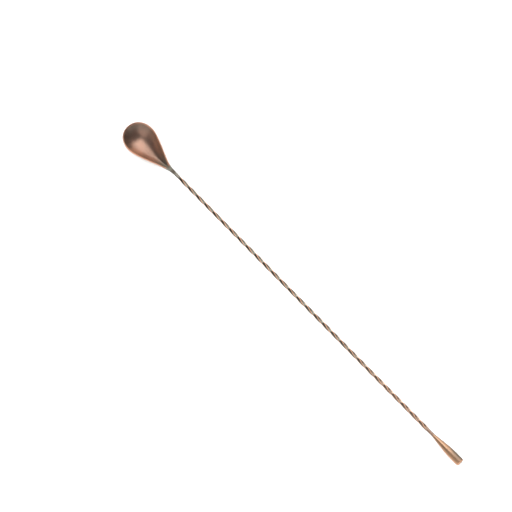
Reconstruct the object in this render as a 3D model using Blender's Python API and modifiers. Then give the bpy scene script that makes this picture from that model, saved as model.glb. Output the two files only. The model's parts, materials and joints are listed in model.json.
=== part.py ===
"""Bar spoon: a teardrop bowl with a drawn neck, a twisted square handle and a turned drop weight.

Everything is laid out along the handle's axis, with the bowl's tip at x = 0 and the weight's flat end
at x = TOTAL_LENGTH. The parent empty then tips the spoon until the bowl's back and the weight both rest
on z = 0, and centres it. Units are metres: the dimensions below are in millimetres, multiplied by MM.
"""

import math

import bmesh
import bpy
import numpy as np
from mathutils import Euler, Vector

MM = 0.001

# Overall
TOTAL_LENGTH = 400.0 * MM
JOINT_GAP = 0.1 * MM  # clearance left between pieces that the filler metal bonds
FILLER = 0.5 * MM  # thickness of the filler metal in each butted joint

# Handle: a square rod, twisted right-handed
ROD_SIDE = 2.7 * MM
TURN_LENGTH = 40.85 * MM  # handle length for one full turn of the twist
TWIST_DELAY = 1.5 * MM  # straight length before the twist
TWIST_RAMP = 6.0 * MM  # length over which the twist starts and stops
SQUARENESS = 8.0  # superellipse power of the rod's section; 2 is a circle
ROUND_NECK = 4.0 * MM  # round stretch of the rod before the weight
ROUND_BLEND = 5.0 * MM  # length over which the square section becomes round

# Bowl
BOWL_FRONT = 16.1 * MM  # from the tip to the widest point
BOWL_WIDTH = 28.1 * MM
BOWL_DEPTH = 7.5 * MM
FRONT_POWER = 2.15  # superellipse power of the front of the rim; 2 is an ellipse
BOWL_HEEL = 53.0 * MM  # where the hollow runs out into the neck
SHEET = 0.9 * MM
HOLLOW_POWERS = (2.2, 1.35)  # roundness of the hollow's section: 2 is a parabola, 1 a V
ROUND_UNTIL = 22.0 * MM  # the hollow keeps its round section up to here
VEE_FROM = 44.0 * MM  # and has its V-shaped one from here
BACK_POWERS = (2.35, 4.0)  # the same for the back, at the bowl and at the neck
RIM_LAND = 0.85 * MM  # width of the flat on the rim
RIM_EDGE = 0.3 * MM  # height of the rim's outer edge
NECK_LAND = 0.35  # the flat's width on the neck, as a share of its half width
NECK_EDGE = 0.86  # height of the neck's side, as a share of the rod's
RIM_BELOW_AXIS = 4.2 * MM
TIP_LIFT = 2.0 * MM  # how far the bowl's tip sweeps up
LIFT_FROM = 34.0 * MM  # where that sweep starts
NECK_FROM = 46.5 * MM  # where the bowl's section starts to turn into the neck's
NECK_LEVEL = 60.5 * MM  # from here to its end the neck is square, level and as thick as the rod
NECK_END = 61.5 * MM

# Neck tenon and weight spigot, turned on the ends of the rod
TENON_RADIUS = 0.7 * MM
TENON_LENGTH = 2.5 * MM
SPIGOT_RADIUS = 0.95 * MM
SPIGOT_LENGTH = 11.0 * MM

# Drop weight
WEIGHT_START = 369.0 * MM
WEIGHT_RADIUS = 3.43 * MM
SWELL_FROM = 372.0 * MM
SWELL_MIDDLE = 383.5 * MM
WEIGHT_FULL = 391.0 * MM  # where the weight reaches its full radius
END_DRAFT = 0.05 * MM  # how much less the radius is where the end's fillet starts
END_FILLET = 1.25 * MM
STEM_RADIUS = ROD_SIDE / 2

# Mesh density
RINGS_PER_TURN = 20
BOWL_STEPS = 7  # points from the centre line to the rim
FAN_STEPS = 14  # stations round a quarter of the bowl's front
NECK_STATIONS = 28
TURNED_STEPS = 32


# ---------------------------------------------------------------- small tools


def clear_scene():
    for obj in list(bpy.data.objects):
        bpy.data.objects.remove(obj, do_unlink=True)


def new_collection(name):
    made = bpy.data.collections.new(name)
    bpy.context.scene.collection.children.link(made)
    return made


def metal(name, colour, roughness):
    made = bpy.data.materials.new(name)
    made.use_nodes = True
    shader = made.node_tree.nodes["Principled BSDF"]
    shader.inputs["Base Color"].default_value = (*colour, 1.0)
    shader.inputs["Metallic"].default_value = 1.0
    shader.inputs["Roughness"].default_value = roughness
    return made


def mesh_object(name, bm, material, collection, parent):
    mesh = bpy.data.meshes.new(name)
    bm.to_mesh(mesh)
    bm.free()
    mesh.materials.append(material)
    made = bpy.data.objects.new(name, mesh)
    collection.objects.link(made)
    made.parent = parent
    return made


def smooth(obj, degrees=35):
    obj.data.shade_smooth()
    obj.data.set_sharp_from_angle(angle=math.radians(degrees))


def ease(value, start, end):
    """0 before start, 1 after end, and a smooth S between them."""
    t = min(1.0, max(0.0, (value - start) / (end - start)))
    return t * t * (3 - 2 * t)


def mix(a, b, share):
    return a + (b - a) * share


def bezier(points, t):
    a, b, c, d = (Vector(p) for p in points)
    s = 1 - t
    return a * s**3 + b * 3 * s * s * t + c * 3 * s * t * t + d * t**3


def bezier_at(points, x):
    """The height of a cubic curve at x, for a curve whose x never turns back."""
    low, high = 0.0, 1.0
    for _ in range(40):
        middle = (low + high) / 2
        if bezier(points, middle).x < x:
            low = middle
        else:
            high = middle
    return bezier(points, low).y


# ---------------------------------------------------------------- bowl

HALF_WIDTH = BOWL_WIDTH / 2
TAPER_END = (47.1 * MM, 3.75 * MM)
SIDE_CURVE = [(BOWL_FRONT, HALF_WIDTH), (23.0 * MM, HALF_WIDTH), (39.8 * MM, 6.25 * MM), TAPER_END]
FLARE_CURVE = [TAPER_END, (52.0 * MM, 2.2 * MM), (55.5 * MM, 1.6 * MM), (NECK_END, ROD_SIDE / 2)]


def half_width(x):
    """Half the plan width, from the widest point of the bowl to the end of the neck."""
    return bezier_at(SIDE_CURVE if x < TAPER_END[0] else FLARE_CURVE, x)


def rim_height(x):
    """Height of the rim and of the neck's upper face, above the handle's axis."""
    return mix(-RIM_BELOW_AXIS, ROD_SIDE / 2, ease(x, NECK_FROM, NECK_LEVEL))


def hollow_depth(x):
    """Depth of the hollow on the centre line."""
    share = (x - BOWL_FRONT) / (BOWL_HEEL - BOWL_FRONT)
    return BOWL_DEPTH * max(0.0, 1 - max(0.0, share) ** 2)


def thickness(x):
    """Metal thickness on the centre line: sheet in the bowl, full rod at the end of the neck."""
    return mix(SHEET, ROD_SIDE, ease(x, NECK_FROM, NECK_LEVEL))


def half_section(x, reach, inner_reach):
    """(distance from the centre, height) pairs, from the middle of the hollow over the rim to the back."""
    neck = ease(x, NECK_FROM, NECK_LEVEL)
    top = rim_height(x)
    depth = hollow_depth(x)
    edge = mix(RIM_EDGE, ROD_SIDE * NECK_EDGE, neck)
    below = depth + thickness(x) - edge
    inner_power = mix(*HOLLOW_POWERS, ease(x, ROUND_UNTIL, VEE_FROM))
    outer_power = mix(*BACK_POWERS, neck)
    shares = [i / BOWL_STEPS for i in range(BOWL_STEPS + 1)]
    hollow = [(s * inner_reach, top - depth * (1 - s**inner_power)) for s in shares]
    rim = [(reach, top), (reach, top - edge)]
    back = [(s * reach, top - edge - below * (1 - s**outer_power)) for s in shares[:-1]]
    return hollow + rim + back[::-1]


def neck_station(x):
    reach = half_width(x)
    land = mix(RIM_LAND, reach * NECK_LAND, ease(x, NECK_FROM, BOWL_HEEL))
    return [Vector((x, y, z)) for y, z in half_section(x, reach, reach - land)]


def front_station(angle):
    """A radial section of the bowl's front about the widest point; 90 degrees is the side."""

    def superellipse(length, width):
        along, across = abs(math.cos(angle)) / length, abs(math.sin(angle)) / width
        return (along**FRONT_POWER + across**FRONT_POWER) ** (-1 / FRONT_POWER)

    reach = superellipse(BOWL_FRONT, HALF_WIDTH)
    inner = superellipse(BOWL_FRONT - RIM_LAND, HALF_WIDTH - RIM_LAND)
    pairs = half_section(BOWL_FRONT, reach, inner)
    return [Vector((BOWL_FRONT + r * math.cos(angle), r * math.sin(angle), z)) for r, z in pairs]


def make_bowl(material, collection, cutters, parent):
    """Bowl and neck are one pressing: half of it from the plane y = 0, mirrored."""
    span = NECK_END - BOWL_FRONT
    stations = [neck_station(NECK_END - span * i / NECK_STATIONS) for i in range(NECK_STATIONS)]
    stations += [front_station(math.radians(90 + 90 * i / FAN_STEPS)) for i in range(FAN_STEPS + 1)]
    for point in stations[-1]:
        point.y = 0.0
    for station in stations:
        for point in station:
            point.z += TIP_LIFT * max(0.0, 1 - point.x / LIFT_FROM) ** 2
    bm = bmesh.new()
    rows = [[bm.verts.new(point) for point in station] for station in stations]
    bm.faces.new(rows[0])
    for this, following in zip(rows, rows[1:]):
        for i in range(len(this) - 1):
            bm.faces.new((this[i], following[i], following[i + 1], this[i + 1]))
    bmesh.ops.remove_doubles(bm, verts=bm.verts, dist=1e-7)
    bmesh.ops.dissolve_degenerate(bm, edges=bm.edges, dist=1e-7)
    bmesh.ops.recalc_face_normals(bm, faces=bm.faces)
    bowl = mesh_object("bowl", bm, material, collection, parent)
    smooth(bowl)
    mirror = bowl.modifiers.new("mirror", "MIRROR")
    mirror.use_axis = (False, True, False)
    mirror.merge_threshold = 1e-6
    socket = make_socket_cutter(cutters, parent)
    cut = bowl.modifiers.new("tenon_socket", "BOOLEAN")
    cut.operation = "DIFFERENCE"
    cut.object = socket
    return bowl


def make_socket_cutter(cutters, parent):
    """A cylinder along the axis that reaches into the neck from beyond its end."""
    radius = TENON_RADIUS + JOINT_GAP
    depth = TENON_LENGTH + JOINT_GAP
    beyond = 1.0 * MM
    bm = bmesh.new()
    bmesh.ops.create_cone(
        bm, cap_ends=True, segments=16, radius1=radius, radius2=radius, depth=depth + beyond
    )
    cutter = mesh_object("socket_cutter", bm, bpy.data.materials["filler_metal"], cutters, parent)
    cutter.rotation_euler = Euler((0, math.radians(90), 0))
    cutter.location = (NECK_END + (beyond - depth) / 2, 0, 0)
    cutter.hide_render = True
    cutter.display_type = "WIRE"
    return cutter


# ---------------------------------------------------------------- handle

QUADRANT = (0, 35, 45, 55)  # the section's points, in degrees, close together at each corner


def section(x, side, power, twist):
    """One ring of the rod: a superellipse of the given side and power, turned by twist about the axis."""
    ring = []
    for quarter in range(4):
        for degrees in QUADRANT:
            a = math.radians(degrees + 90 * quarter)
            r = side / 2 / (abs(math.cos(a)) ** power + abs(math.sin(a)) ** power) ** (1 / power)
            ring.append(Vector((x, r * math.cos(a + twist), r * math.sin(a + twist))))
    return ring


def twist_at(x, start, end):
    """Turn of the section, rising steadily but for a ramp at each end of the twisted stretch."""
    rate = 2 * math.pi / TURN_LENGTH

    def ramped(length):
        within = min(max(length, 0.0), TWIST_RAMP)
        return within * within / (2 * TWIST_RAMP) + max(0.0, length - TWIST_RAMP)

    total = end - start - TWIST_RAMP
    if x < (start + end) / 2:
        return rate * ramped(x - start)
    return rate * (total - ramped(end - x))


def loft(bm, rings):
    """Skins closed rings of equal count and closes both ends."""
    rows = [[bm.verts.new(point) for point in ring] for ring in rings]
    for this, following in zip(rows, rows[1:]):
        for i in range(len(this)):
            j = (i + 1) % len(this)
            bm.faces.new((this[i], this[j], following[j], following[i]))
    bm.faces.new(rows[0])
    bm.faces.new(rows[-1])
    bmesh.ops.recalc_face_normals(bm, faces=bm.faces)


def make_handle(material, collection, parent):
    start = NECK_END + FILLER
    end = WEIGHT_START - FILLER
    round_from = end - ROUND_NECK
    square_to = round_from - ROUND_BLEND
    twist_start = start + TWIST_DELAY
    count = round((end - start) / TURN_LENGTH * RINGS_PER_TURN)
    rings = []
    for x, twist in ((start - TENON_LENGTH, 0.0), (start, 0.0)):
        rings.append(section(x, 2 * TENON_RADIUS, 2.0, twist))
    for i in range(count + 1):
        x = start + (end - start) * i / count
        power = mix(SQUARENESS, 2.0, ease(x, square_to, round_from))
        rings.append(section(x, ROD_SIDE, power, twist_at(x, twist_start, round_from)))
    last_turn = twist_at(end, twist_start, round_from)
    for x in (end, end + SPIGOT_LENGTH):
        rings.append(section(x, 2 * SPIGOT_RADIUS, 2.0, last_turn))
    bm = bmesh.new()
    loft(bm, rings)
    handle = mesh_object("twisted_handle", bm, material, collection, parent)
    smooth(handle)
    return handle


# ---------------------------------------------------------------- drop weight and filler metal


def turned(name, profile, material, collection, parent, closed):
    """A solid of revolution about the handle's axis, from (x, radius) pairs."""
    bm = bmesh.new()
    points = [bm.verts.new((radius, 0, -x)) for x, radius in profile]
    for a, b in zip(points, points[1:]):
        bm.edges.new((a, b))
    if closed:
        bm.edges.new((points[-1], points[0]))
    made = mesh_object(name, bm, material, collection, parent)
    # The profile's +Z is the axis towards the bowl, so that it runs down the outer side from start to end.
    made.rotation_euler = Euler((0, math.radians(-90), 0))
    screw = made.modifiers.new("turn", "SCREW")
    screw.axis = "Z"
    screw.steps = TURNED_STEPS
    screw.render_steps = TURNED_STEPS
    screw.use_merge_vertices = True
    screw.merge_threshold = 1e-6
    screw.use_smooth_shade = True
    return made


def make_weight(material, collection, parent):
    swell = [
        (WEIGHT_START - 1.5 * MM, STEM_RADIUS),
        (SWELL_FROM, STEM_RADIUS),
        (SWELL_MIDDLE, WEIGHT_RADIUS),
        (WEIGHT_FULL, WEIGHT_RADIUS),
    ]
    bore = SPIGOT_RADIUS + JOINT_GAP
    bore_end = WEIGHT_START + SPIGOT_LENGTH + 0.5 * MM
    stations = [WEIGHT_START + (WEIGHT_FULL - WEIGHT_START) * i / 12 for i in range(13)]
    outer = [(x, bezier_at(swell, x)) for x in stations]
    fillet_start = TOTAL_LENGTH - END_FILLET
    corner = [math.radians(90 * i / 5) for i in range(6)]
    centre = WEIGHT_RADIUS - END_DRAFT - END_FILLET
    fillet = [(fillet_start + END_FILLET * math.sin(a), centre + END_FILLET * math.cos(a)) for a in corner]
    inside = [(bore_end, 0.0), (bore_end, bore), (WEIGHT_START, bore)]
    profile = inside + outer + fillet + [(TOTAL_LENGTH, 0.0)]
    return turned("drop_weight", profile, material, collection, parent, closed=False)


def make_neck_filler(material, collection, parent):
    """Filler metal in the neck joint, square outside like the rod, round inside about the tenon."""
    near = NECK_END + JOINT_GAP
    far = NECK_END + FILLER - JOINT_GAP
    hole = 2 * (TENON_RADIUS + JOINT_GAP)
    outer = [section(x, ROD_SIDE, SQUARENESS, 0.0) for x in (near, far)]
    inner = [section(x, hole, 2.0, 0.0) for x in (far, near)]
    bm = bmesh.new()
    rows = [[bm.verts.new(point) for point in ring] for ring in outer + inner]
    for this, following in zip(rows, rows[1:] + rows[:1]):
        for i in range(len(this)):
            j = (i + 1) % len(this)
            bm.faces.new((this[i], this[j], following[j], following[i]))
    bmesh.ops.recalc_face_normals(bm, faces=bm.faces)
    return mesh_object("neck_filler", bm, material, collection, parent)


def make_weight_filler(material, collection, parent):
    near = WEIGHT_START - FILLER + JOINT_GAP
    far = WEIGHT_START - JOINT_GAP
    hole = SPIGOT_RADIUS + JOINT_GAP
    profile = [(far, hole), (near, hole), (near, STEM_RADIUS), (far, STEM_RADIUS + 0.04 * MM)]
    return turned("weight_filler", profile, material, collection, parent, closed=True)


# ---------------------------------------------------------------- rest pose


def points_of(obj):
    """The vertices of the object with its modifiers, in its parent's frame."""
    evaluated = obj.evaluated_get(bpy.context.evaluated_depsgraph_get())
    mesh = evaluated.to_mesh()
    found = np.array([obj.matrix_basis @ v.co for v in mesh.vertices])
    evaluated.to_mesh_clear()
    return found


def turned_by(points, pitch):
    """Points turned about Y, as (x, z) columns. A positive pitch lowers the weight's end."""
    x, z = points[:, 0], points[:, 2]
    along = x * math.cos(pitch) + z * math.sin(pitch)
    up = z * math.cos(pitch) - x * math.sin(pitch)
    return np.stack((along, up), axis=1)


def lay_on_table(root, bowl, weight):
    """Tips the spoon until the bowl's back and the weight touch z = 0, with the origin midway along it."""
    bpy.context.view_layer.update()
    bowl_points, weight_points = points_of(bowl), points_of(weight)
    low, high = 0.0, math.radians(5)
    for _ in range(50):
        pitch = (low + high) / 2
        if turned_by(weight_points, pitch)[:, 1].min() > turned_by(bowl_points, pitch)[:, 1].min():
            low = pitch
        else:
            high = pitch
    every = turned_by(np.concatenate((bowl_points, weight_points)), pitch)
    middle = (every[:, 0].min() + every[:, 0].max()) / 2
    root.rotation_euler = Euler((0, pitch, 0))
    root.location = (-middle, 0, -every[:, 1].min())


def main():
    clear_scene()
    spoon = new_collection("bar_spoon")
    cutters = new_collection("cutters")
    root = bpy.data.objects.new("bar_spoon_axis", None)
    spoon.objects.link(root)
    copper = metal("brushed_copper", (0.36, 0.2, 0.14), 0.36)
    antique = metal("antique_copper", (0.3, 0.24, 0.2), 0.28)
    polished = metal("polished_copper", (0.62, 0.36, 0.24), 0.24)
    filler = metal("filler_metal", (0.5, 0.34, 0.24), 0.3)
    bowl = make_bowl(copper, spoon, cutters, root)
    make_handle(antique, spoon, root)
    weight = make_weight(polished, spoon, root)
    make_neck_filler(filler, spoon, root)
    make_weight_filler(filler, spoon, root)
    lay_on_table(root, bowl, weight)


main()
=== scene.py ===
"""Looks for the bar spoon: finely meshed pieces over the CAD solids, antique copper, and a soft studio."""

import json
import math

import bmesh
import bpy
from mathutils import Matrix, Vector


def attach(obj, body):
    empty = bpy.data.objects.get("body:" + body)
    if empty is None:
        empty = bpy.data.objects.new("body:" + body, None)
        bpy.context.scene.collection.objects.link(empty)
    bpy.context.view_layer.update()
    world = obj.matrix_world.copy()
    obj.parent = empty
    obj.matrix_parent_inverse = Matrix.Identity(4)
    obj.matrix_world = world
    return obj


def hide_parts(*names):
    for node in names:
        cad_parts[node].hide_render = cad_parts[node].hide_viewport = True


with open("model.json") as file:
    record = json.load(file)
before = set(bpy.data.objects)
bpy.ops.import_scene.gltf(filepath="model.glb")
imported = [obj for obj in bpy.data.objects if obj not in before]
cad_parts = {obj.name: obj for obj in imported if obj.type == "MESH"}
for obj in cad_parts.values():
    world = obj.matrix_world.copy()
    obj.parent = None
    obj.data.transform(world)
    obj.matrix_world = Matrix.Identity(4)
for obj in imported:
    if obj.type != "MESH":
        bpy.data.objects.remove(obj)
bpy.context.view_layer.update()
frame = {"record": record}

MM = 0.001

# The spoon's dimensions, as the CAD has them: distances are along the handle from the bowl's tip.
LENGTH = 400.0 * MM
ROD_SIDE = 2.7 * MM
TURN_LENGTH = 40.85 * MM
TWIST_DELAY = 1.5 * MM
TWIST_RAMP = 6.0 * MM
SQUARENESS = 8.0
ROUND_NECK = 4.0 * MM
ROUND_BLEND = 5.0 * MM
BOWL_FRONT = 16.1 * MM
BOWL_WIDTH = 28.1 * MM
BOWL_DEPTH = 7.5 * MM
FRONT_POWER = 2.15
BOWL_HEEL = 53.0 * MM
SHEET = 0.9 * MM
HOLLOW_POWERS = (2.2, 1.35)
ROUND_UNTIL = 22.0 * MM
VEE_FROM = 44.0 * MM
BACK_POWERS = (2.35, 4.0)
RIM_LAND = 0.85 * MM
RIM_EDGE = 0.3 * MM
NECK_LAND = 0.35
NECK_EDGE = 0.86
RIM_BELOW_AXIS = 4.2 * MM
TIP_LIFT = 2.0 * MM
LIFT_FROM = 34.0 * MM
NECK_FROM = 46.5 * MM
NECK_LEVEL = 60.5 * MM
NECK_END = 61.5 * MM
FILLER = 0.5 * MM
WEIGHT_START = 369.0 * MM
WEIGHT_RADIUS = 3.43 * MM
SWELL_LEAD = 1.5 * MM  # how far before the weight the curve of its swell begins
SWELL_FROM = 372.0 * MM
SWELL_MIDDLE = 383.5 * MM
WEIGHT_FULL = 391.0 * MM
END_DRAFT = 0.05 * MM
END_FILLET = 1.25 * MM
STEM_RADIUS = ROD_SIDE / 2

# Small rounds and beads that only the looks have
LIP_INSIDE = 0.965  # share of the hollow's reach where the rim's round starts
LIP_OUTSIDE = 0.98  # and the same for the back
LAND_ROUNDS = (0.4, 0.6)  # shares of the rim's flat where its inner and outer rounds end
BEAD = 0.03 * MM  # how far the filler metal stands proud of the rod
BEAD_END = 0.01 * MM  # and what is left of that where it meets the weight

# Mesh density
HOLLOW_STEPS = 26
CORNER_STEPS = 5
FAN_STEPS = 44
NECK_STATIONS = 90
ROD_STEP = 0.5 * MM
ROD_POINTS = 72
TURNED_POINTS = 96
SWELL_STEPS = 60
FILLET_STEPS = 14
END_RINGS = (0.8, 0.6, 0.4, 0.2, 0.02)  # shares of the flat end's radius
CORNER_CROWDING = 1 / 6  # how far the rod's points are drawn towards its corners
BISECTIONS = 40
WELD = 1e-7
SEAM_WELD = 1e-6
SHARP_ANGLE = 50

# The finish. A pair is where something starts to change and where the change is complete.
RIM_WEAR_FADE = (0.3 * MM, 1.5 * MM)  # distance from the rim's flat
RIM_WEAR_ENDS = (48.0 * MM, 54.0 * MM)
TIP_WEAR = 0.45  # as a share of the rim's wear elsewhere
TIP_WEAR_ENDS = (4.0 * MM, 20.0 * MM)
WALL_PATINA = 0.4
WALL_PATINA_ACROSS = (0.4, 0.9)  # shares of the half width
WALL_PATINA_FADE = (0.0, 1.0 * MM)  # distance from the rim's flat
BOWL_PATINA_ALONG = (30.0 * MM, 52.0 * MM)
# Painted shade: colour that darkens the neck and the rod's start, standing in for their shading
NECK_PAINTED_SHADE = 0.8
NECK_SHADE_ALONG = (54.5 * MM, 58.0 * MM)
ROD_SHADE_FADE = (2.0 * MM, 8.0 * MM)  # distance from the rod's start
RIDGE_WEAR_STARTS = 8.0 * MM  # length of rod over which the ridges' wear sets in
RIDGE_WEAR_FADE = (8.5, 15.5)  # degrees round the rod from the middle of the wear
RIDGE_WEAR_OFFSET = 2.0  # degrees from the ridge to the middle of the wear
BROWN_ALONG = (250.0 * MM, 340.0 * MM)  # the rod turns browner towards the weight
BROWN_PATINA = 0.45
STEM_PATINA = 0.15
STEM_PATINA_ENDS = 378.0 * MM
FILLET_WEAR = (1.6 * MM, 0.7 * MM)  # distance from the flat end
FILLET_WORN_STEPS = 11  # the rest of the round and the flat end aren't worn
# A painted highlight: bright worn colour on the weight's near side, from its start, standing in for the
# light it catches
NEAR_HIGHLIGHT = 0.75
NEAR_HIGHLIGHT_ALONG = (371.0 * MM, 380.0 * MM)
# Painted shade towards the weight's end: darker on its far side, and in the patina's colour on its upper
# side
WEIGHT_SHADE_ALONG = (383.0 * MM, 392.0 * MM)
UPPER_PAINTED_SHADE = 0.45

# Sides of a turned piece: the middle's angle in degrees from +Y towards +Z, then a pair of cosines from it
# The far and upper sides carry the weight's painted shade, the near side its painted highlight
FAR_SIDE = (5.0, (0.62, 0.9))
UPPER_SIDE = (45.0, (0.3, 0.95))
NEAR_SIDE = (185.0, (0.68, 0.95))

# The camera: the photograph looks down at the spoon, with the weight's end nearer
CAMERA_LEAN = (0.25, -0.15)  # how far the line of sight leans to the weight's end and to the side
CAMERA_TURN = 45.4  # degrees that the handle falls to the right in the picture
CAMERA_DISTANCE = 1.4
CAMERA_LENS = 118.3
CAMERA_SENSOR = 36.0
CAMERA_SEES_TO = 50.0
AIM = (160.92 * MM, -0.3 * MM, 0.0)


# ---------------------------------------------------------------- the spoon's own frame


def spoon_matrix():
    """From the spoon's own frame, tip at the origin and handle along +X, to the CAD's frame."""
    mount = next(m for m in frame["record"]["mounts"] if m["name"] == "weight_end")
    along = Vector(mount["axis"]).normalized()
    side = Vector((0, 1, 0))
    up = along.cross(side)
    tip = Vector(mount["pos_m"]) - along * LENGTH
    rows = [(along[i], side[i], up[i], tip[i]) for i in range(3)]
    return Matrix(rows + [(0, 0, 0, 1)])


PLACE = spoon_matrix()


# ---------------------------------------------------------------- small tools


def ease(value, start, end):
    """0 before start, 1 after end, and a smooth S between them."""
    t = min(max((value - start) / (end - start), 0.0), 1.0)
    return t * t * (3 - 2 * t)


def mix(a, b, share):
    return a + (b - a) * share


def bezier_at(points, x):
    """The height of a cubic curve at x, for a curve whose x never turns back."""
    xs, ys = zip(*points)
    low, high = 0.0, 1.0
    for _ in range(BISECTIONS):
        t = (low + high) / 2
        weights = ((1 - t) ** 3, 3 * t * (1 - t) ** 2, 3 * t * t * (1 - t), t**3)
        if sum(w * p for w, p in zip(weights, xs)) < x:
            low = t
        else:
            high = t
    return sum(w * p for w, p in zip(weights, ys))


def rounded(before, corner, after, steps):
    """Points that round a corner between two points near it."""
    shares = [i / (steps - 1) for i in range(steps)]
    return [
        tuple(b * (1 - t) ** 2 + c * 2 * t * (1 - t) + a * t * t for b, c, a in zip(before, corner, after))
        for t in shares
    ]


def add_piece(name, rows, masks, material, node, closed_rows, mirror=False):
    """A piece skinned over rows of points, with its masks as vertex attributes, standing for a CAD node."""
    bm = bmesh.new()
    layers = {mask: bm.verts.layers.float.new(mask) for mask in masks}
    grid = []
    for i, row in enumerate(rows):
        made = []
        for j, point in enumerate(row):
            vert = bm.verts.new(point)
            for mask, values in masks.items():
                vert[layers[mask]] = values[i][j]
            made.append(vert)
        grid.append(made)
    count = len(grid[0])
    for this, following in zip(grid, grid[1:]):
        for j in range(count if closed_rows else count - 1):
            k = (j + 1) % count
            bm.faces.new((this[j], following[j], following[k], this[k]))
    bm.faces.new(grid[0])
    if closed_rows:
        bm.faces.new(grid[-1])
    bmesh.ops.remove_doubles(bm, verts=bm.verts, dist=WELD)
    bmesh.ops.dissolve_degenerate(bm, edges=bm.edges, dist=WELD)
    bmesh.ops.recalc_face_normals(bm, faces=bm.faces)
    mesh = bpy.data.meshes.new(name)
    bm.to_mesh(mesh)
    bm.free()
    mesh.materials.append(material)
    mesh.shade_smooth()
    mesh.set_sharp_from_angle(angle=math.radians(SHARP_ANGLE))
    piece = bpy.data.objects.new(name, mesh)
    bpy.context.scene.collection.objects.link(piece)
    piece.matrix_world = PLACE
    if mirror:
        modifier = piece.modifiers.new("mirror", "MIRROR")
        modifier.use_axis = (False, True, False)
        modifier.merge_threshold = SEAM_WELD
    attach(piece, "root")
    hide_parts(node)


# ---------------------------------------------------------------- materials


class Nodes:
    """A material's node tree, with short calls for the nodes used here."""

    def __init__(self, name):
        self.material = bpy.data.materials.new(name)
        self.material.use_nodes = True
        self.tree = self.material.node_tree
        self.shader = self.tree.nodes["Principled BSDF"]

    def add(self, kind, **inputs):
        node = self.tree.nodes.new(kind)
        for key, value in inputs.items():
            self.feed(node.inputs[key.replace("_", " ")], value)
        return node

    def feed(self, socket, value):
        if isinstance(value, bpy.types.NodeSocket):
            self.tree.links.new(value, socket)
        else:
            socket.default_value = value

    def mask(self, name):
        node = self.add("ShaderNodeAttribute")
        node.attribute_name = name
        return node.outputs["Fac"]

    def place(self, scale):
        """Object coordinates, stretched by scale along each axis."""
        source = self.add("ShaderNodeTexCoord").outputs["Object"]
        node = self.add("ShaderNodeMapping", Vector=source)
        node.inputs["Scale"].default_value = scale
        return node.outputs["Vector"]

    def noise(self, scale, detail=3.0, roughness=0.55):
        node = self.add("ShaderNodeTexNoise", Vector=self.place(scale), Scale=1.0, Detail=detail)
        node.inputs["Roughness"].default_value = roughness
        return node.outputs["Fac"]

    def math(self, operation, a, b=0.0, c=0.0):
        node = self.add("ShaderNodeMath")
        node.operation = operation
        for socket, value in zip(node.inputs, (a, b, c)):
            self.feed(socket, value)
        return node.outputs["Value"]

    def between(self, value, low, high, to_low=0.0, to_high=1.0):
        node = self.add("ShaderNodeMapRange", Value=value)
        node.inputs["From Min"].default_value = low
        node.inputs["From Max"].default_value = high
        node.inputs["To Min"].default_value = to_low
        node.inputs["To Max"].default_value = to_high
        return node.outputs["Result"]

    def blend(self, share, a, b, mode="MIX"):
        node = self.add("ShaderNodeMix")
        node.data_type = "RGBA"
        node.blend_type = mode
        self.feed(node.inputs["Factor"], share)
        self.feed(node.inputs[6], a)
        self.feed(node.inputs[7], b)
        return node.outputs[2]


PINK_COPPER = (0.80, 0.48, 0.355, 1.0)
BRIGHT_COPPER = (0.90, 0.52, 0.36, 1.0)
BROWN_COPPER = (0.66, 0.42, 0.31, 1.0)
WORN_COPPER = (0.98, 0.53, 0.33, 1.0)
BRASSY_COPPER = (0.84, 0.488, 0.292, 1.0)
ORANGE_COPPER = (0.92, 0.50, 0.30, 1.0)
GREY_PATINA = (0.38, 0.366, 0.30, 1.0)
DARK_PATINA = (0.255, 0.262, 0.225, 1.0)
# The colour of painted shade; faint random spots of it also show where no shade is painted
PAINTED_SHADE_COLOUR = (0.20, 0.15, 0.12, 1.0)

STREAKS = (60.0, 2600.0, 2600.0)  # noise cells per metre: long along the handle, fine across it
BROAD_STREAKS = (25.0, 700.0, 700.0)
CLOUDS = (160.0, 160.0, 160.0)
SPECKS = (1900.0, 1900.0, 1900.0)

# How the noises are stretched to their full range, and how much each one does
SOFT_RANGE = (0.35, 0.65)
STREAK_RANGE = (0.3, 0.7)
CLOUDY_PATINA = 0.16
STREAKY_PATINA = 0.14
SPECKLED_WEAR = 0.35
WEAR_CUT = (0.28, 0.72)  # where the wear mask starts to show the bright metal, and shows nothing else
# Painted shade: how much the clouds make it uneven, where it starts to show, and how far it goes towards its
# colour
UNEVEN_SHADE = 0.2
SHADE_CUT = (0.05, 1.0)
SHADE_DEPTH = 0.8
STREAK_SHADE = 0.07
PATINA_ROUGHNESS = 0.02
STREAK_ROUGHNESS = 0.05
SPECK_RELIEF = 0.25
BUMP_HEIGHT = 0.03 * MM


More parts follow.
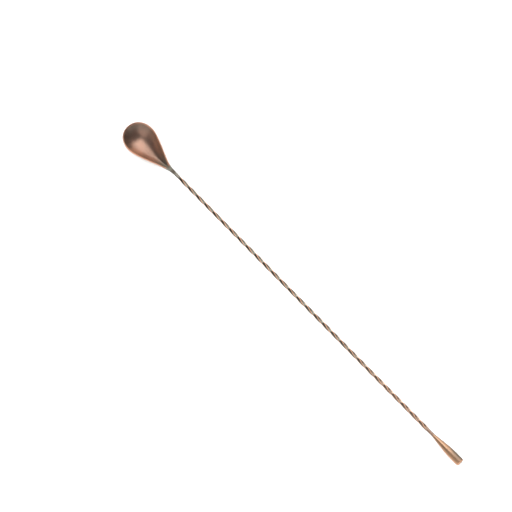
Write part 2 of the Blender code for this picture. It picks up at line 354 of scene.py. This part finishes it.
def antique_copper(name, ground, bright, aged, roughness, relief, worn_roughness, scuffed):
    """Brushed copper plate, patinated and relieved. Its colour is bright where it is worn, aged where it is
    patinated, darkened by painted shade where a piece paints it, and ground elsewhere; the piece's masks say
    where. The weight's masks also paint a highlight as wear on its near side, and shade in the patina's
    colour on its upper side. Relief is the brushing's depth. Worn metal's roughness differs by
    worn_roughness, and it is less than fully metallic by scuffed."""
    n = Nodes(name)
    streaks = n.noise(STREAKS, detail=4.0)
    broad = n.noise(BROAD_STREAKS)
    clouds = n.noise(CLOUDS)
    specks = n.noise(SPECKS, detail=2.0)
    cloudy = n.between(clouds, *SOFT_RANGE)
    # The patina mask also holds painted shade on the weight's upper side
    patina = n.math("MULTIPLY_ADD", cloudy, CLOUDY_PATINA, n.mask("patina"))
    patina = n.math("MULTIPLY_ADD", n.between(broad, *STREAK_RANGE, -0.5, 0.5), STREAKY_PATINA, patina)
    colour = n.blend(patina, ground, aged)
    # The wear mask also holds a painted highlight on the weight's near side
    worn = n.math("MULTIPLY_ADD", n.between(specks, *SOFT_RANGE, -0.5, 0.5), SPECKLED_WEAR, n.mask("wear"))
    worn = n.between(worn, *WEAR_CUT)
    colour = n.blend(worn, colour, bright)
    # Painted shade: its mask, made uneven by the clouds, darkens the colour; the clouds alone leave faint
    # darker spots elsewhere
    uneven = n.between(clouds, *SOFT_RANGE, -0.5, 0.5)
    painted_shade = n.math("MULTIPLY_ADD", uneven, UNEVEN_SHADE, n.mask("painted_shade"))
    colour = n.blend(n.between(painted_shade, *SHADE_CUT, 0.0, SHADE_DEPTH), colour, PAINTED_SHADE_COLOUR)
    streaky = n.between(streaks, *STREAK_RANGE, -1.0, 1.0)
    shade = n.math("MULTIPLY_ADD", streaky, STREAK_SHADE, 1 - STREAK_SHADE)
    tint = n.add("ShaderNodeCombineColor", Red=shade, Green=shade, Blue=shade).outputs["Color"]
    colour = n.blend(1.0, colour, tint, "MULTIPLY")
    n.feed(n.shader.inputs["Base Color"], colour)
    rough = n.math("MULTIPLY_ADD", patina, PATINA_ROUGHNESS, roughness)
    rough = n.math("MULTIPLY_ADD", streaky, STREAK_ROUGHNESS, rough)
    rough = n.math("MULTIPLY_ADD", worn, worn_roughness, rough)
    n.feed(n.shader.inputs["Roughness"], rough)
    n.feed(n.shader.inputs["Metallic"], n.math("MULTIPLY_ADD", worn, -scuffed, 1.0))
    height = n.math("MULTIPLY_ADD", specks, SPECK_RELIEF, streaks)
    bump = n.add("ShaderNodeBump", Height=height, Strength=relief, Distance=BUMP_HEIGHT)
    n.feed(n.shader.inputs["Normal"], bump.outputs["Normal"])
    return n.material


# ---------------------------------------------------------------- bowl

HALF_WIDTH = BOWL_WIDTH / 2
TAPER_END = (47.1 * MM, 3.75 * MM)
SIDE_CURVE = [(BOWL_FRONT, HALF_WIDTH), (23.0 * MM, HALF_WIDTH), (39.8 * MM, 6.25 * MM), TAPER_END]
FLARE_CURVE = [TAPER_END, (52.0 * MM, 2.2 * MM), (55.5 * MM, 1.6 * MM), (NECK_END, ROD_SIDE / 2)]


def half_width(x):
    return bezier_at(SIDE_CURVE if x < TAPER_END[0] else FLARE_CURVE, x)


def rim_height(x):
    return mix(-RIM_BELOW_AXIS, ROD_SIDE / 2, ease(x, NECK_FROM, NECK_LEVEL))


def hollow_depth(x):
    share = (x - BOWL_FRONT) / (BOWL_HEEL - BOWL_FRONT)
    return BOWL_DEPTH * max(0.0, 1 - max(0.0, share) ** 2)


def thickness(x):
    return mix(SHEET, ROD_SIDE, ease(x, NECK_FROM, NECK_LEVEL))


def half_section(x, reach, inner_reach):
    """(distance from the centre, height, wear, patina) from the middle of the hollow to the back's."""
    neck = ease(x, NECK_FROM, NECK_LEVEL)
    top = rim_height(x)
    depth = hollow_depth(x)
    edge = mix(RIM_EDGE, ROD_SIDE * NECK_EDGE, neck)
    below = depth + thickness(x) - edge
    inner_power = mix(*HOLLOW_POWERS, ease(x, ROUND_UNTIL, VEE_FROM))
    outer_power = mix(*BACK_POWERS, neck)
    shares = [i / HOLLOW_STEPS for i in range(HOLLOW_STEPS)]

    def hollow(s):
        return (s * inner_reach, top - depth * (1 - s**inner_power))

    def back(s):
        return (s * reach, top - edge - below * (1 - s**outer_power))

    land_in, land_out = (mix(inner_reach, reach, share) for share in LAND_ROUNDS)
    edge_middle = (reach, top - edge * 0.5)
    inner_lip = rounded(hollow(LIP_INSIDE), (inner_reach, top), (land_in, top), CORNER_STEPS)
    outer_lip = rounded((land_out, top), (reach, top), edge_middle, CORNER_STEPS)
    under_lip = rounded(edge_middle, (reach, top - edge), back(LIP_OUTSIDE), CORNER_STEPS)
    inside = [hollow(s * LIP_INSIDE) for s in shares]
    outside = [back(s * LIP_OUTSIDE) for s in reversed(shares)]
    points = inside + inner_lip + outer_lip + under_lip[1:] + outside
    lip = len(inside)
    lip_end = lip + len(inner_lip) + len(outer_lip) + len(under_lip) - 1
    distances = [0.0]
    for a, b in zip(points, points[1:]):
        distances.append(distances[-1] + math.dist(a, b))
    first, last = distances[lip + 1], distances[lip_end - 2]
    found = []
    for i, (across, height) in enumerate(points):
        away = max(0.0, first - distances[i], distances[i] - last)
        wear = 1 - ease(away, *RIM_WEAR_FADE)
        wall = ease(across / reach, *WALL_PATINA_ACROSS) * ease(away, *WALL_PATINA_FADE)
        found.append((across, height, wear, WALL_PATINA * wall))
    return found


def neck_station(x):
    reach = half_width(x)
    land = mix(RIM_LAND, reach * NECK_LAND, ease(x, NECK_FROM, BOWL_HEEL))
    worn = 1 - ease(x, *RIM_WEAR_ENDS)
    return [((x, y, z), wear * worn, t) for y, z, wear, t in half_section(x, reach, reach - land)]


def front_station(angle):
    def superellipse(length, width):
        along, across = abs(math.cos(angle)) / length, abs(math.sin(angle)) / width
        return (along**FRONT_POWER + across**FRONT_POWER) ** (-1 / FRONT_POWER)

    reach = superellipse(BOWL_FRONT, HALF_WIDTH)
    inner = superellipse(BOWL_FRONT - RIM_LAND, HALF_WIDTH - RIM_LAND)
    across, along = math.sin(angle), math.cos(angle)
    pairs = half_section(BOWL_FRONT, reach, inner)
    return [((BOWL_FRONT + r * along, r * across, z), wear, t) for r, z, wear, t in pairs]


def make_bowl(material):
    span = NECK_END - BOWL_FRONT
    stations = [neck_station(NECK_END - span * i / NECK_STATIONS) for i in range(NECK_STATIONS)]
    stations += [front_station(math.radians(90 + 90 * i / FAN_STEPS)) for i in range(FAN_STEPS + 1)]
    rows = []
    masks = {"wear": [], "painted_shade": [], "patina": []}
    for number, station in enumerate(stations):
        on_seam = number == len(stations) - 1
        row, wear, painted_shade, patina = [], [], [], []
        for (x, y, z), worn, aged in station:
            lift = TIP_LIFT * max(0.0, 1 - x / LIFT_FROM) ** 2
            row.append((x, 0.0 if on_seam else y, z + lift))
            wear.append(worn * mix(TIP_WEAR, 1.0, ease(x, *TIP_WEAR_ENDS)))
            # painted shade at the neck
            painted_shade.append(NECK_PAINTED_SHADE * ease(x, *NECK_SHADE_ALONG))
            patina.append(max(ease(x, *BOWL_PATINA_ALONG), aged))
        rows.append(row)
        masks["wear"].append(wear)
        masks["painted_shade"].append(painted_shade)
        masks["patina"].append(patina)
    add_piece("bowl_shell", rows, masks, material, "bowl", closed_rows=False, mirror=True)


# ---------------------------------------------------------------- handle


def ring(x, side, power, twist):
    """One ring of the rod: its points, closest together at the corners, with their angles off a corner."""
    found = []
    for i in range(ROD_POINTS):
        even = 2 * math.pi * i / ROD_POINTS
        a = even - CORNER_CROWDING * math.sin(4 * (even - math.pi / 4))
        r = side / 2 / (abs(math.cos(a)) ** power + abs(math.sin(a)) ** power) ** (1 / power)
        corner = (math.degrees(a) % 90) - 45
        found.append(((x, r * math.cos(a + twist), r * math.sin(a + twist)), corner))
    return found


def twist_at(x, start, end):
    rate = 2 * math.pi / TURN_LENGTH

    def ramped(length):
        within = min(max(length, 0.0), TWIST_RAMP)
        return within * within / (2 * TWIST_RAMP) + max(0.0, length - TWIST_RAMP)

    total = end - start - TWIST_RAMP
    if x < (start + end) / 2:
        return rate * ramped(x - start)
    return rate * (total - ramped(end - x))


def make_handle(material):
    start = NECK_END + FILLER
    end = WEIGHT_START - FILLER
    round_from = end - ROUND_NECK
    square_to = round_from - ROUND_BLEND
    count = round((end - start) / ROD_STEP)
    rows = []
    masks = {"wear": [], "patina": [], "painted_shade": []}
    for i in range(count + 1):
        x = start + (end - start) * i / count
        round_share = ease(x, square_to, round_from)
        twist = twist_at(x, start + TWIST_DELAY, round_from)
        points = ring(x, ROD_SIDE, mix(SQUARENESS, 2.0, round_share), twist)
        ridge = (1 - round_share) * ease(x, start, start + RIDGE_WEAR_STARTS)
        off_ridge = [abs(corner - RIDGE_WEAR_OFFSET) for _, corner in points]
        patina = mix(mix(1.0, BROWN_PATINA, ease(x, *BROWN_ALONG)), STEM_PATINA, round_share)
        # painted shade at the rod's start, running on from the neck's
        painted_shade = NECK_PAINTED_SHADE * (1 - ease(x - start, *ROD_SHADE_FADE))
        rows.append([point for point, _ in points])
        masks["wear"].append([ridge * (1 - ease(off, *RIDGE_WEAR_FADE)) for off in off_ridge])
        masks["patina"].append([patina] * ROD_POINTS)
        masks["painted_shade"].append([painted_shade] * ROD_POINTS)
    add_piece("handle_rod", rows, masks, material, "twisted_handle", closed_rows=True)


# ---------------------------------------------------------------- drop weight and filler metal


def make_turned(name, profile, finish, material, node):
    """A turned piece from (x, radius) pairs. Finish gives four values for each: wear all round, a highlight
    painted as wear on the near side, patina, and painted shade, which darkens the far side and paints the
    upper one in the patina's colour."""
    angles = [2 * math.pi * i / TURNED_POINTS for i in range(TURNED_POINTS)]

    def facing(side):
        middle, cosines = side
        return [ease(math.cos(a - math.radians(middle)), *cosines) for a in angles]

    nears, uppers, fars = facing(NEAR_SIDE), facing(UPPER_SIDE), facing(FAR_SIDE)
    rows = []
    masks = {"wear": [], "patina": [], "painted_shade": []}
    for (x, radius), (wear, near_highlight, patina, painted_shade) in zip(profile, finish):
        rows.append([(x, radius * math.cos(a), radius * math.sin(a)) for a in angles])
        # Near side: a highlight painted into the wear mask. Upper side: painted shade in the patina's
        # colour. Far side: painted shade.
        masks["wear"].append([max(wear, near_highlight * near) for near in nears])
        masks["patina"].append([patina + UPPER_PAINTED_SHADE * painted_shade * upper for upper in uppers])
        masks["painted_shade"].append([painted_shade * far for far in fars])
    add_piece(name, rows, masks, material, node, closed_rows=True)


def make_weight(material):
    swell = [
        (WEIGHT_START - SWELL_LEAD, STEM_RADIUS),
        (SWELL_FROM, STEM_RADIUS),
        (SWELL_MIDDLE, WEIGHT_RADIUS),
        (WEIGHT_FULL, WEIGHT_RADIUS),
    ]
    stations = [mix(WEIGHT_START, WEIGHT_FULL, i / SWELL_STEPS) for i in range(SWELL_STEPS + 1)]
    profile = [(x, bezier_at(swell, x)) for x in stations]
    worn_rings = len(profile) + FILLET_WORN_STEPS
    centre = WEIGHT_RADIUS - END_DRAFT - END_FILLET
    corner = [math.radians(90 * i / FILLET_STEPS) for i in range(FILLET_STEPS + 1)]
    profile += [(LENGTH + END_FILLET * (math.sin(a) - 1), centre + END_FILLET * math.cos(a)) for a in corner]
    profile += [(LENGTH, centre * share) for share in END_RINGS]
    worn_from, worn_at = (LENGTH - distance for distance in FILLET_WEAR)
    finish = []
    for number, (x, _) in enumerate(profile):
        wear = ease(x, worn_from, worn_at) if number < worn_rings else 0.0
        # a highlight painted as wear on the near side
        near_highlight = NEAR_HIGHLIGHT * ease(x, *NEAR_HIGHLIGHT_ALONG)
        patina = mix(STEM_PATINA, 0.0, ease(x, WEIGHT_START, STEM_PATINA_ENDS))
        # the last value is painted shade towards the weight's end
        finish.append((wear, near_highlight, patina, ease(x, *WEIGHT_SHADE_ALONG)))
    make_turned("weight_body", profile, finish, material, "drop_weight")


def make_fillers(material):
    near, far = NECK_END, NECK_END + FILLER
    shape = ((near, 0.0), (mix(near, far, 0.5), BEAD), (far, 0.0))
    rows = [[point for point, _ in ring(x, ROD_SIDE + 2 * bead, SQUARENESS, 0.0)] for x, bead in shape]
    bare = [[0.0] * ROD_POINTS for _ in rows]
    masks = {"wear": bare, "painted_shade": bare, "patina": [[1.0] * ROD_POINTS for _ in rows]}
    add_piece("neck_seam", rows, masks, material, "neck_filler", closed_rows=True)
    near, far = WEIGHT_START - FILLER, WEIGHT_START
    middle = mix(near, far, 0.5)
    profile = [(near, STEM_RADIUS), (middle, STEM_RADIUS + BEAD), (far, STEM_RADIUS + BEAD_END)]
    finish = [(0.0, 0.0, STEM_PATINA, 0.0)] * len(profile)
    make_turned("weight_seam", profile, finish, material, "weight_filler")


# ---------------------------------------------------------------- studio

FLOOR_RADIUS = 6.0
FLOOR_SIDES = 96
FLOOR_ROUGHNESS = 0.9
FLOOR_SPECULAR = 0.1
FLOOR_WHITE = (0.86, 0.86, 0.855, 1.0)
FLOOR_IN_METAL = (0.33, 0.33, 0.33, 1.0)  # as the metal's reflections show it, shaded by the spoon
WORLD_WHITE = (2.1, 2.1, 2.1, 1.0)
ROOM_IN_METAL = (0.09, 0.09, 0.095, 1.0)
SOFTBOX_DISTANCE = 6.0


def make_floor():
    bpy.ops.mesh.primitive_circle_add(vertices=FLOOR_SIDES, radius=FLOOR_RADIUS, fill_type="NGON")
    floor = bpy.context.object
    floor.name = "studio_floor"
    n = Nodes("pale_floor")
    seen_in_metal = n.add("ShaderNodeLightPath").outputs["Is Glossy Ray"]
    n.feed(n.shader.inputs["Base Color"], n.blend(seen_in_metal, FLOOR_WHITE, FLOOR_IN_METAL))
    n.shader.inputs["Roughness"].default_value = FLOOR_ROUGHNESS
    n.shader.inputs["Specular IOR Level"].default_value = FLOOR_SPECULAR
    floor.data.materials.append(n.material)


def softbox(name, target_x, tip, size, radiance, distance=SOFTBOX_DISTANCE, spread=180):
    """An area light facing the handle at target_x, tipped from overhead towards +X and +Y by the angles in
    tip. The matt floor doesn't see it, so that the spoon casts no hard shadow."""
    target = Vector((target_x, 0, 0))
    direction = Vector((math.tan(math.radians(tip[0])), math.tan(math.radians(tip[1])), 1)).normalized()
    light = bpy.data.lights.new(name, "AREA")
    light.shape = "RECTANGLE"
    light.size, light.size_y = size
    light.energy = radiance * math.pi * size[0] * size[1]
    light.spread = math.radians(spread)
    lamp = bpy.data.objects.new(name, light)
    lamp.location = target + direction * distance
    lamp.rotation_euler = (-direction).to_track_quat("-Z", "Y").to_euler()
    lamp.visible_diffuse = False
    bpy.context.scene.collection.objects.link(lamp)


def make_lights():
    softbox("main_softbox", target_x=-1.25, tip=(0, 27.5), size=(4.0, 8.0), radiance=1.17)
    softbox("far_softbox", target_x=-8.5, tip=(0, 24), size=(10.0, 8.4), radiance=0.4)
    softbox("side_softbox", target_x=2.9, tip=(0, -60), size=(8.4, 8.9), radiance=0.4)
    softbox("front_softbox", target_x=0.0, tip=(77, -25), size=(6.5, 1.6), radiance=0.42)
    softbox("back_softbox", target_x=0.0, tip=(-66, 71), size=(7.0, 3.0), radiance=0.85)
    softbox("heel_softbox", target_x=0.0, tip=(-78, 30), size=(5.0, 1.6), radiance=1.2)
    softbox("low_softbox", target_x=-3.5, tip=(0, -80), size=(7.0, 3.0), radiance=0.25)
    softbox(
        "tail_softbox", target_x=0.185, tip=(-27, 12), size=(0.3, 0.3), radiance=0.17,
        distance=0.7, spread=40,
    )


def make_world():
    """White for the camera and for matt surfaces; a dim room in the metal's reflections."""
    world = bpy.data.worlds.new("studio")
    bpy.context.scene.world = world
    world.use_nodes = True
    tree = world.node_tree
    shader = tree.nodes["Background"]
    path = tree.nodes.new("ShaderNodeLightPath")
    room = tree.nodes.new("ShaderNodeMix")
    room.data_type = "RGBA"
    room.inputs[6].default_value = WORLD_WHITE
    room.inputs[7].default_value = ROOM_IN_METAL
    tree.links.new(path.outputs["Is Glossy Ray"], room.inputs["Factor"])
    tree.links.new(room.outputs[2], shader.inputs["Color"])


def make_camera():
    camera = bpy.data.cameras.new("camera")
    camera.lens = CAMERA_LENS
    camera.sensor_width = CAMERA_SENSOR
    camera.clip_end = CAMERA_SEES_TO
    back = Vector((*CAMERA_LEAN, math.sqrt(1 - sum(lean**2 for lean in CAMERA_LEAN))))
    along = PLACE.col[0].to_3d()
    along = (along - back * along.dot(back)).normalized()
    right = Matrix.Rotation(math.radians(CAMERA_TURN), 3, back) @ along
    up = back.cross(right)
    holder = bpy.data.objects.new("camera", camera)
    holder.location = PLACE @ Vector(AIM) + back * CAMERA_DISTANCE
    holder.rotation_euler = Matrix((right, up, back)).transposed().to_euler()
    bpy.context.scene.collection.objects.link(holder)
    bpy.context.scene.camera = holder


bowl_copper = antique_copper(
    "antique_copper_bowl", PINK_COPPER, BRIGHT_COPPER, GREY_PATINA,
    roughness=0.36, relief=1.6, worn_roughness=-0.05, scuffed=0.06,
)
handle_copper = antique_copper(
    "antique_copper_handle", BROWN_COPPER, WORN_COPPER, DARK_PATINA,
    roughness=0.17, relief=0.2, worn_roughness=0.22, scuffed=0.22,
)
weight_copper = antique_copper(
    "antique_copper_weight", BRASSY_COPPER, ORANGE_COPPER, GREY_PATINA,
    roughness=0.38, relief=0.8, worn_roughness=-0.05, scuffed=0.26,
)
make_bowl(bowl_copper)
make_handle(handle_copper)
make_weight(weight_copper)
make_fillers(handle_copper)
make_floor()
make_world()
make_lights()
make_camera()
bpy.context.scene.view_settings.view_transform = "Standard"
bpy.context.scene.view_settings.look = "None"
